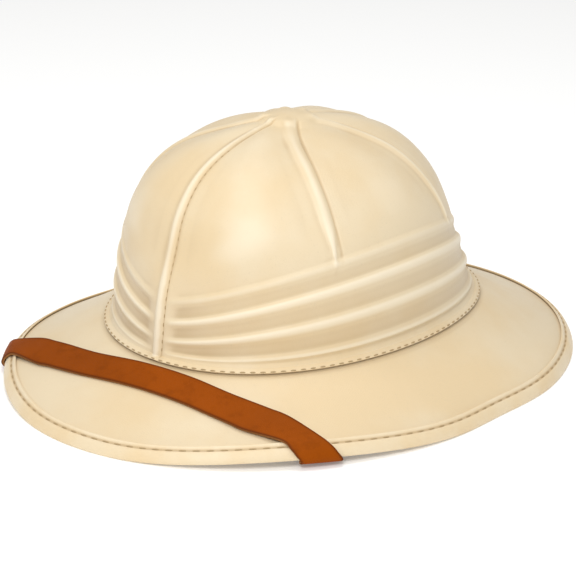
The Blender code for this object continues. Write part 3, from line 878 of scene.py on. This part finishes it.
def wear_and_painted_light_group():
    """Cloth that is paler where it stands out and darker where it sinks in: painted highlight on crests and
    painted shade in grooves and corners, with some real rubbing and dirt.
    """
    found = bpy.data.node_groups.get("rub_dust_and_painted_light")
    if found:
        return found
    colour, number = "NodeSocketColor", "NodeSocketFloat"
    tree, given, result = new_group(
        "rub_dust_and_painted_light",
        {"Colour": colour, "Rubbed": colour, "Dusty": colour,
         "Relief": number, "Rub": number, "Dust": number},
        {"Colour": colour},
    )
    out = work_out(tree, "MULTIPLY", ramp(tree, given["Relief"], low=0.05, high=0.9), given["Rub"])
    sunk = work_out(tree, "MULTIPLY", given["Relief"], -1.0)
    sunk = work_out(tree, "MULTIPLY", ramp(tree, sunk, low=0.05, high=0.95), given["Dust"])
    rubbed_and_lit = mix_colour(tree, out, given["Colour"], given["Rubbed"])
    set_inputs(result, Colour=mix_colour(tree, sunk, rubbed_and_lit, given["Dusty"]))
    return tree


def new_material(name, **values):
    """A Principled material with these socket values, its tree and its shader."""
    material = bpy.data.materials.new(name)
    material.use_nodes = True
    shader = material.node_tree.nodes["Principled BSDF"]
    set_inputs(shader, Metallic=0.0, **values)
    return material, material.node_tree, shader


def attribute(tree, name):
    return add(tree, "Attribute", attribute_type="GEOMETRY", attribute_name=name).outputs["Fac"]


def bump(tree, shader, height, distance, strength):
    made = add(tree, "Bump", Strength=strength, Distance=distance, Height=height)
    set_inputs(shader, Normal=made.outputs["Normal"])


def moulded_cloth(name, colour, patch_size, rub_and_light=0.8, dust_and_shade=0.7):
    """Satin cream cloth pressed over a shell: weave, slow patches, crests paled by rubbing and painted
    highlight, grooves darkened by dirt and painted shade, and a darker inside that is painted shade.
    """
    colours = bpy.context.scene.helmet_colours
    pitch = bpy.context.scene.helmet_sewing.weave
    material, tree, shader = new_material(
        name, Specular_IOR_Level=0.4, Sheen_Weight=0.12, Sheen_Roughness=0.4,
    )
    weave = add(tree, "Group", node_tree=weave_group(), Thread_pitch=pitch, Patch_size=patch_size).outputs
    warm = [channel * share for channel, share in zip(colour, (0.96, 0.89, 0.77))]
    patched = mix_colour(tree, work_out(tree, "MULTIPLY", weave["Patch"], 0.8), colour, warm)
    flecks = work_out(tree, "MULTIPLY", weave["Fleck"], 0.22)
    # Paler crests and darker grooves: partly wear, partly painted highlight and painted shade.
    worn = add(
        tree, "Group", node_tree=wear_and_painted_light_group(), Colour=mix_colour(tree, flecks, patched, shade(colour, 0.82)),
        Rubbed=colours.cloth_rubbed_and_lit, Dusty=colours.cloth_dusty_and_shaded, Relief=attribute(tree, "relief"),
        Rub=rub_and_light, Dust=dust_and_shade,
    )
    inside = attribute(tree, "inside")
    # Painted shade: inner and under faces take a darker copy of the cloth.
    inside_shaded = mix_colour(tree, weave["Patch"], colours.cloth_inside_shaded, shade(colours.cloth_inside_shaded, 0.85))
    rough = work_out(tree, "MULTIPLY_ADD", weave["Patch"], 0.12, 0.42)
    set_inputs(
        shader, Base_Color=mix_colour(tree, inside, worn.outputs["Colour"], inside_shaded),
        Roughness=work_out(tree, "MULTIPLY_ADD", inside, 0.3, rough),
    )
    bump(tree, shader, weave["Height"], distance=0.18 * MM, strength=0.5)
    return material


def strap_leather():
    """Smooth brown leather with fine grain, darker borders and a paler raw underside."""
    colours = bpy.context.scene.helmet_colours
    material, tree, shader = new_material("strap_leather_grain", Specular_IOR_Level=0.05)
    place = add(tree, "TexCoord").outputs["Object"]
    pores = add(tree, "TexVoronoi", feature="DISTANCE_TO_EDGE", Vector=place, Scale=1100.0)
    grain = ramp(tree, pores.outputs["Distance"], low=0.0, high=0.35)
    streaks = noise(tree, place, scale=120.0, detail=5.0, roughness=0.6)
    patches = ramp(tree, noise(tree, place, scale=22.0), low=0.35, high=0.7)
    inside = attribute(tree, "inside")
    colour = mix_colour(tree, patches, colours.leather, shade(colours.leather, 1.22))
    lines = work_out(tree, "MULTIPLY", ramp(tree, streaks, low=0.5, high=0.75), 0.35)
    colour = mix_colour(tree, lines, colour, shade(colours.leather, 0.6))
    border = work_out(tree, "MULTIPLY", attribute(tree, "border"), 0.85)
    colour = mix_colour(tree, border, colour, colours.leather_edge)
    rough = work_out(tree, "MULTIPLY_ADD", streaks, 0.2, 0.42)
    set_inputs(
        shader, Base_Color=mix_colour(tree, inside, colour, colours.leather_back),
        Roughness=work_out(tree, "MULTIPLY_ADD", inside, 0.35, rough),
    )
    height = work_out(tree, "MULTIPLY_ADD", streaks, 0.8, grain)
    bump(tree, shader, height, distance=0.12 * MM, strength=0.45)
    return material


def thread_material():
    """Twisted cotton thread."""
    found = bpy.data.materials.get("sewing_thread")
    if found:
        return found
    thread = bpy.context.scene.helmet_colours.thread
    material, tree, shader = new_material("sewing_thread", Roughness=0.7)
    place = add(tree, "TexCoord").outputs["Object"]
    twist = add(tree, "TexWave", bands_direction="DIAGONAL", Vector=place, Scale=900.0, Distortion=1.5)
    patches = ramp(tree, noise(tree, place, scale=150.0), low=0.4, high=0.7)
    colour = mix_colour(tree, twist.outputs["Fac"], shade(thread, 0.7), thread)
    set_inputs(shader, Base_Color=mix_colour(tree, patches, colour, shade(thread, 0.85)))
    bump(tree, shader, twist.outputs["Fac"], distance=0.1 * MM, strength=0.5)
    return material


class HELMET_OT_crown(bpy.types.Operator):
    """Builds the moulded crown: panels, ribs with their seams, boss, pleats and the lip round its foot"""

    bl_idname = "helmet.crown"
    bl_label = "Crown"

    def execute(self, context):
        rings = crown_rings()
        reliefs = [[point[1] for point in ring[:-1]] for ring in rings]
        # Relief against the neighbours, which paints crests paler and grooves darker: painted highlight and
        # painted shade, partly wear.
        marks = sharpened(reliefs, RUB_AND_SHADING_REACH)

        def place(i, j):
            point, _, wall = rings[j][i]
            return point, marks[j][i % marks.shape[1]], wall

        crown = bent_grid("crown_shell", len(rings[0]) - 1, len(rings) - 1, place)
        close_seams(crown)
        give_wall(crown, CROWN_WALL, -1)
        smooth(crown)
        colours = context.scene.helmet_colours
        cloth = moulded_cloth("crown_satin", colours.cloth, patch_size=55 * MM)
        finish_piece(crown, cloth, ["crown"])
        return {"FINISHED"}


def pressed_waves(turn, inset):
    """The slight unevenness that pressing leaves in the brim."""
    swell = sum(w["share"] * math.sin(w["count"] * turn + w["slant"] * inset + w["start"]) for w in WAVES)
    return WAVE_HEIGHT * (swell - 1)


class HELMET_OT_brim(bpy.types.Operator):
    """Builds the brim's pressed shell, softly uneven, with its turned-down edge inside the binding"""

    bl_idname = "helmet.brim"
    bl_label = "Brim"

    def execute(self, context):
        colours = context.scene.helmet_colours
        edge = BRIM_EDGE[-1]["inset"] * MM
        first = BRIM_EDGE[0]["inset"] * MM

        def place(i, j):
            turn = math.tau * i / RIM_COLUMNS
            if j < BRIM_EDGE_ROWS:
                inset = first + (edge - first) * j / BRIM_EDGE_ROWS
            else:
                inner = brim_width(turn) + BRIM_UNDER_CROWN
                inset = edge + (inner - edge) * (j - BRIM_EDGE_ROWS) / BRIM_ROWS
            away = inset - brim_width(turn) + LIP_WIDTH
            # Painted shade: darker by the crown's lip and by the binding's edge.
            relief = -FOOT_PAINTED_SHADE * smoothstep(-FOOT_PAINTED_SHADE_REACH, 0.0, away)
            relief -= RIM_PAINTED_SHADE * (1 - smoothstep(0.0, RIM_PAINTED_SHADE_REACH, inset - BINDING_INSET * MM))
            clear = smoothstep(edge, WAVES_CLEAR_RIM * edge, inset) * smoothstep(0, -WAVES_CLEAR_FOOT, away)
            height = brim_top(turn, inset) - lift(turn) + pressed_waves(turn, inset) * clear
            return at_rim(turn, inset, height), relief, 1.0

        brim = bent_grid("brim_shell", RIM_COLUMNS, BRIM_EDGE_ROWS + BRIM_ROWS, place)
        close_seams(brim)
        give_wall(brim, BRIM_WALL, -1)
        smooth(brim)
        cloth = moulded_cloth("brim_satin", colours.cloth, patch_size=70 * MM, dust_and_shade=0.35)
        finish_piece(brim, cloth, ["brim"])
        return {"FINISHED"}


class HELMET_OT_binding(bpy.types.Operator):
    """Builds the tape that wraps the rim, with the groove that its stitches pull in"""

    bl_idname = "helmet.binding"
    bl_label = "Binding"

    def execute(self, context):
        colours = context.scene.helmet_colours

        def place(i, j):
            turn = math.tau * i / RIM_COLUMNS
            inset, up = (along([row[key] for row in BINDING], j / BINDING_ROWS) for key in ("inset", "up"))
            relief = 0.0
            # Painted shade in the stitches' groove and a painted highlight along the tape's edge.
            if up > TAPE_TOP and j > BINDING_ROWS / 2:
                for mark in TAPE_MARKS:
                    relief += mark["relief"] * bell((inset - mark["inset"]) / mark["half"])
            return at_rim(turn, inset * MM, up * MM), relief, 1.0

        tape = bent_grid("rim_tape", RIM_COLUMNS, BINDING_ROWS, place)
        close_seams(tape)
        give_wall(tape, BINDING_WALL, -1)
        smooth(tape)
        cloth = moulded_cloth("binding_weave", colours.binding, patch_size=30 * MM, rub_and_light=0.6, dust_and_shade=0.75)
        finish_piece(tape, cloth, ["brim_binding"])
        return {"FINISHED"}


class HELMET_OT_strap(bpy.types.Operator):
    """Builds the leather strap over the brim's front, round the rim and up inside the crown"""

    bl_idname = "helmet.strap"
    bl_label = "Chin strap"

    def execute(self, context):
        rows = strap_rows()
        steps = (len(rows) - 1) * STRAP_ROWS_BETWEEN
        lines = [[row[k] for row in rows] for k in range(3)]

        def place(i, j):
            share = i / steps
            across = [along(line, share) for line in lines]
            point = along(across, j / STRAP_COLUMNS)
            return point, 0.0, 1.0

        strap = bent_grid("leather_strap", steps, STRAP_COLUMNS, place)
        bpy.context.view_layer.objects.active = strap
        give_wall(strap, STRAP_WALL, 1)
        mark_borders(strap, steps)
        sharp = math.radians(SHARP_EDGE)
        modify(strap, "BEVEL", width=STRAP_ROUNDING, segments=2, limit_method="ANGLE", angle_limit=sharp)
        smooth(strap, 45)
        finish_piece(strap, strap_leather(), ["chin_strap"])
        return {"FINISHED"}


def mark_borders(strap, steps):
    """Marks the strap's darker borders. Its grid's points run along it, row by row across."""
    border = strap.data.attributes.new("border", "FLOAT", "POINT")
    count = (steps + 1) * (STRAP_COLUMNS + 1)
    for index in range(len(strap.data.vertices)):
        j = index % count // (steps + 1)
        edge = min(j, STRAP_COLUMNS - j) / STRAP_COLUMNS
        border.data[index].value = 1 - smoothstep(0.0, BORDER_SHARE, edge)


def stitch_shape(length, width):
    """One stitch lying along X: a short thread whose ends dive into the cloth."""
    deselect_all()
    bpy.ops.mesh.primitive_uv_sphere_add(segments=8, ring_count=6, radius=0.5)
    shape = bpy.context.object
    for vertex in shape.data.vertices:
        x, y, z = vertex.co
        plump = (1 - (2 * z) ** 4) ** 0.5 if abs(z) < 0.5 else 0.0
        ring = math.hypot(x, y) or 1.0
        thick = plump * width / 2 / ring
        vertex.co = (z * length, x * thick, y * thick - 2 * z * z * width)
    return shape


def sew(name, places, length, width):
    """Joins a copy of one stitch at each place: a point, the way along the seam and the way off it."""
    shape = stitch_shape(length, width)
    stitches = bmesh.new()
    for point, ahead, out in places:
        ahead = ahead.normalized()
        side = out.cross(ahead).normalized()
        out = ahead.cross(side)
        turned = Matrix((ahead, side, out)).transposed().to_4x4()
        turned.translation = point
        one = shape.data.copy()
        one.transform(turned)
        stitches.from_mesh(one)
        bpy.data.meshes.remove(one)
    seam_mesh = bpy.data.meshes.new(name)
    bmesh.ops.recalc_face_normals(stitches, faces=stitches.faces)
    stitches.to_mesh(seam_mesh)
    stitches.free()
    bpy.data.objects.remove(shape)
    seam = bpy.data.objects.new(name, seam_mesh)
    bpy.context.scene.collection.objects.link(seam)
    smooth(seam, 80)
    return finish_piece(seam, thread_material())


def even_places(line, pitch, seam, count=720):
    """Stitches' places at an even pitch round a closed line, which gives a point for a turn."""
    turns = [math.tau * i / count for i in range(count + 1)]
    points = [line(turn) for turn in turns]
    lengths = [0.0]
    for a, b in zip(points, points[1:]):
        lengths.append(lengths[-1] + (b - a).length)
    number = round(lengths[-1] / pitch)
    places = []
    for turn in np.interp([lengths[-1] * k / number for k in range(number)], lengths, turns):
        point = line(turn)
        out = (Vector((point.x, point.y, 0)).normalized() + Vector((0, 0, seam["up"]))).normalized()
        places.append((point + out * seam["off"], line(turn + TURN_PROBE) - line(turn - TURN_PROBE), out))
    return places


class HELMET_OT_stitches(bpy.types.Operator):
    """Sews the crown's foot, the binding, the front rib's seam and the strap's two ends"""

    bl_idname = "helmet.stitches"
    bl_label = "Stitches"

    def execute(self, context):
        sewing = context.scene.helmet_sewing
        width = sewing.thread_width
        foot = even_places(lambda turn: on_lip(turn, LIP_STITCH_SHARE), sewing.foot_pitch, FOOT_SEAM)
        sew("foot_stitches", foot, FOOT_SEAM["share"] * sewing.foot_pitch, width)
        rim = even_places(lambda turn: at_rim(turn, STITCH_INSET, STITCH_UP), sewing.rim_pitch, RIM_SEAM)
        sew("rim_stitches", rim, RIM_SEAM["share"] * sewing.rim_pitch, width)
        rib, thin = rib_places(sewing.rib_pitch), RIB_SEAM["thread"] * width
        sew("rib_stitches", rib, RIB_SEAM["share"] * sewing.rib_pitch, thin)
        sew("strap_stitches", tab_places(), TAB_SEAM["length"], width)
        return {"FINISHED"}


def rib_places(pitch):
    """Stitches' places up the seam beside the front rib, from the foot to under the boss."""
    places = []
    height = RIB_SEAM["low"]
    while height < RIB_SEAM["high"]:
        rise = math.asin(height / CROWN_HEIGHT)
        level = between(CROWN_LEVELS, "front", math.degrees(rise), "rise") * MM
        turn = RIB_SEAM_ASIDE / level
        point = plain_skin(turn, rise)
        ahead = plain_skin(turn, rise + RISE_PROBE) - point
        beside = plain_skin(turn + SKIN_PROBE, rise) - plain_skin(turn - SKIN_PROBE, rise)
        out = beside.cross(ahead).normalized()
        places.append((point + out * RIB_SEAM["off"], ahead, out))
        height += pitch * (ahead.z / ahead.length)
    return places


def tab_places():
    """Stitches' places in a box through each end of the strap, on its inner face."""
    near, far, side = TAB_SEAM["near"], TAB_SEAM["far"], TAB_SEAM["side"]
    corners = [(near, side), (far, side), (far, 1 - side), (near, 1 - side), (near, side)]
    places = []
    for hand, turn in ((-1, STRAP_RIGHT_TURN), (1, STRAP_LEFT_TURN)):
        rows = strap_end(math.radians(turn), hand)[-3:]
        lines = [[row[k] for row in rows] for k in range(3)]

        def spot(ahead, aside):
            return along([along(line, ahead) for line in lines], aside)

        middle = spot(0.75, 0.5)
        out = (spot(0.8, 0.5) - middle).cross(spot(0.75, 0.6) - middle).normalized()
        out = out if out.dot(Vector((middle.x, middle.y, 0))) < 0 else -out
        for (a0, s0), (a1, s1) in zip(corners, corners[1:]):
            start, stop = spot(a0, s0), spot(a1, s1)
            number = max(2, round((stop - start).length / TAB_SEAM["pitch"]))
            for k in range(number):
                share = (k + 0.5) / number
                point = spot(a0 + (a1 - a0) * share, s0 + (s1 - s0) * share)
                places.append((point + out * TAB_SEAM["off"], stop - start, out))
    return places


class HELMET_OT_stage(bpy.types.Operator):
    """Lays the floor, hangs the lights and sets the camera at the photograph's angle"""

    bl_idname = "helmet.stage"
    bl_label = "Studio"

    def execute(self, context):
        scene = context.scene
        studio = scene.helmet_studio
        deselect_all()
        bpy.ops.mesh.primitive_plane_add(size=FLOOR_SIZE, location=(0, 0, -FLOOR_DROP))
        floor = context.object
        floor.name = "floor"
        tint = scene.helmet_colours.floor
        material, tree, shader = new_material(
            "plain_floor", Roughness=0.9, Specular_IOR_Level=0.0, Emission_Color=(1, 1, 1),
            Emission_Strength=studio.floor_glow,
        )
        tone = noise(tree, add(tree, "TexCoord").outputs["Object"], scale=3.0)
        set_inputs(shader, Base_Color=mix_colour(tree, tone, tint, shade(tint, 0.985)))
        floor.data.materials.append(material)
        self.set_lights(scene, studio)
        self.set_camera(scene, studio)
        return {"FINISHED"}

    def set_lights(self, scene, studio):
        world = bpy.data.worlds.new("white_room")
        scene.world = world
        world.use_nodes = True
        back = world.node_tree.nodes["Background"]
        set_inputs(back, Color=ROOM_COLOUR, Strength=studio.room_light)
        hang_light("key", power=studio.key_power, **KEY_LIGHT)
        hang_light("top", power=studio.top_power, **TOP_LIGHT)
        scene.view_settings.view_transform = "Standard"

    def set_camera(self, scene, studio):
        a, e = studio.camera_turn, studio.camera_rise
        back = Vector((math.sin(a) * math.cos(e), -math.cos(a) * math.cos(e), math.sin(e)))
        right = Vector((math.cos(a), math.sin(a), 0))
        up = back.cross(right)
        c, s = math.cos(studio.camera_roll), math.sin(studio.camera_roll)
        lens = bpy.data.cameras.new("camera")
        lens.sensor_width = 36
        lens.lens = studio.lens
        lens.clip_start = 0.05
        camera = bpy.data.objects.new("camera", lens)
        scene.collection.objects.link(camera)
        turned = Matrix((right * c + up * s, up * c - right * s, back)).transposed().to_4x4()
        turned.translation = right * studio.aim_across + up * studio.aim_up + back * studio.camera_distance
        camera.matrix_world = turned
        scene.camera = camera


def hang_light(name, place, aim, size, power):
    deselect_all()
    bpy.ops.object.light_add(type="AREA", location=place)
    light = bpy.context.object
    light.name = name
    light.data.shape = "DISK"
    light.data.size = size
    light.data.energy = power
    light.rotation_euler = (Vector(aim) - Vector(place)).to_track_quat("-Z", "Y").to_euler()
    return light


class HELMET_PT_panel(bpy.types.Panel):
    """Lists the helmet's pieces, colours, sewing and studio."""

    bl_idname = "HELMET_PT_panel"
    bl_label = "Pith Helmet"
    bl_space_type = "VIEW_3D"
    bl_region_type = "UI"
    bl_category = "Helmet"

    def draw(self, context):
        column = self.layout.column()
        for operator in PIECES:
            column.operator(operator.bl_idname)
        scene = context.scene
        for group in (scene.helmet_colours, scene.helmet_sewing, scene.helmet_studio):
            box = self.layout.box()
            for name in group.__annotations__:
                box.prop(group, name)


PIECES = (
    HELMET_OT_crown,
    HELMET_OT_brim,
    HELMET_OT_binding,
    HELMET_OT_strap,
    HELMET_OT_stitches,
    HELMET_OT_stage,
)
CLASSES = (HelmetColours, HelmetSewing, HelmetStudio, *PIECES, HELMET_PT_panel)


def register():
    for made in CLASSES:
        bpy.utils.register_class(made)
    bpy.types.Scene.helmet_colours = PointerProperty(type=HelmetColours)
    bpy.types.Scene.helmet_sewing = PointerProperty(type=HelmetSewing)
    bpy.types.Scene.helmet_studio = PointerProperty(type=HelmetStudio)


def unregister():
    del bpy.types.Scene.helmet_studio
    del bpy.types.Scene.helmet_sewing
    del bpy.types.Scene.helmet_colours
    for made in reversed(CLASSES):
        bpy.utils.unregister_class(made)


def main():
    register()
    bpy.ops.helmet.crown()
    bpy.ops.helmet.brim()
    bpy.ops.helmet.binding()
    bpy.ops.helmet.strap()
    bpy.ops.helmet.stitches()
    bpy.ops.helmet.stage()


if __name__ == "__main__":
    main()
